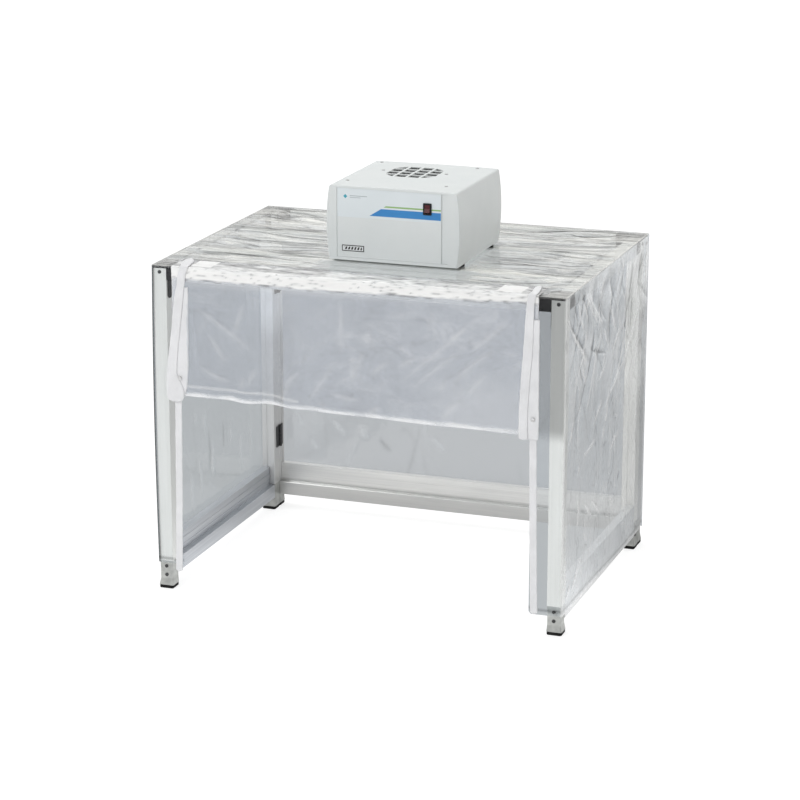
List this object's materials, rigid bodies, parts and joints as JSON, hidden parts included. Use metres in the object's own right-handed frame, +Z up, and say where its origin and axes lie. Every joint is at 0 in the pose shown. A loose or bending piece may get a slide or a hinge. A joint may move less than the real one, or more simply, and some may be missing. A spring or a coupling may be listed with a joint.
{
  "type": "tabletop clean booth",
  "caption": "Tabletop clean booth: folding aluminium frame on rubber-soled feet, clear film cover with a folded front curtain, and a fan and filter unit on the roof.",
  "frame": {"origin": "on the floor under the middle of the booth", "axes": "+X to the right seen from the open front, +Y to the back, +Z up"},
  "size_m": [0.9, 0.65, 0.8727],
  "materials": {
    "aluminium_profile": "satin anodised extrusion",
    "cast_metal": "die cast, lightly blasted",
    "sole_rubber": "matt moulded rubber",
    "black_moulding": "fine matt moulding",
    "zinc_steel": "bright zinc plate",
    "hinge_steel": "black steel",
    "clear_film": "clear glossy soft film",
    "white_tape": "woven hook-and-loop tape",
    "unit_shell": "light grey fine texture",
    "label_sheet": "printed satin sheet",
    "badge_sheet": "printed satin sheet",
    "filter_aluminium": "mill finish",
    "filter_paper": "pleated glass paper",
    "gasket_foam": "closed-cell foam",
    "fan_black": "moulded",
    "motor_steel": "laminated steel and varnished windings",
    "rocker_red": "translucent red moulding",
    "lead_sheath": "flexible sheath"
  },
  "bodies": {
    "booth": {"cross_rail_brackets": "zinc_steel", "cross_rail_front": "aluminium_profile", "cross_rail_rear": "aluminium_profile", "curtain_hook_strip": "white_tape", "curtain_tapes": "white_tape", "edge_tapes": "white_tape", "fan_housing": "fan_black", "fan_motor": "motor_steel", "film_back": "clear_film", "film_left": "clear_film", "film_right": "clear_film", "film_roof": "clear_film", "film_snaps": "zinc_steel", "filter_frame": "filter_aluminium", "filter_gasket": "gasket_foam", "filter_media": "filter_paper", "foot_back_left": "cast_metal", "foot_back_right": "cast_metal", "foot_left_front": "cast_metal", "foot_left_rear": "cast_metal", "foot_right_front": "cast_metal", "foot_right_rear": "cast_metal", "foot_soles": "sole_rubber", "frame_screws": "zinc_steel", "front_curtain": "clear_film", "hinge_back_leaves": "hinge_steel", "hinge_pins": "hinge_steel", "hinge_side_leaves": "hinge_steel", "joint_back_left": "black_moulding", "joint_back_right": "black_moulding", "joint_left_front": "black_moulding", "joint_left_rear": "black_moulding", "joint_right_front": "black_moulding", "joint_right_rear": "black_moulding", "mains_inlet": "black_moulding", "post_back_left": "aluminium_profile", "post_back_right": "aluminium_profile", "post_left_front": "aluminium_profile", "post_left_rear": "aluminium_profile", "post_right_front": "aluminium_profile", "post_right_rear": "aluminium_profile", "rail_back_bottom": "aluminium_profile", "rail_back_top": "aluminium_profile", "rail_front_top": "aluminium_profile", "rail_left_bottom": "aluminium_profile", "rail_left_top": "aluminium_profile", "rail_right_bottom": "aluminium_profile", "rail_right_top": "aluminium_profile", "switch_body": "black_moulding", "unit_back_panel": "unit_shell", "unit_badge": "badge_sheet", "unit_base": "unit_shell", "unit_cover": "unit_shell", "unit_feet": "sole_rubber", "unit_front_panel": "unit_shell", "unit_label": "label_sheet", "unit_leads": "lead_sheath", "unit_screws": "zinc_steel"},
    "fan": {"fan_impeller": "fan_black"},
    "rocker": {"switch_rocker": "rocker_red"}
  },
  "joints": [
    {"name": "fan_spin", "type": "hinge", "parent": "booth", "child": "fan", "pos_m": [0.012, 0.02, 0.85], "axis": [0, 0, 1], "continuous": true},
    {"name": "rocker_tilt", "type": "hinge", "parent": "booth", "child": "rocker", "pos_m": [0.102, -0.1565, 0.833], "axis": [1, 0, 0], "range_deg": [0, 18]}
  ]
}
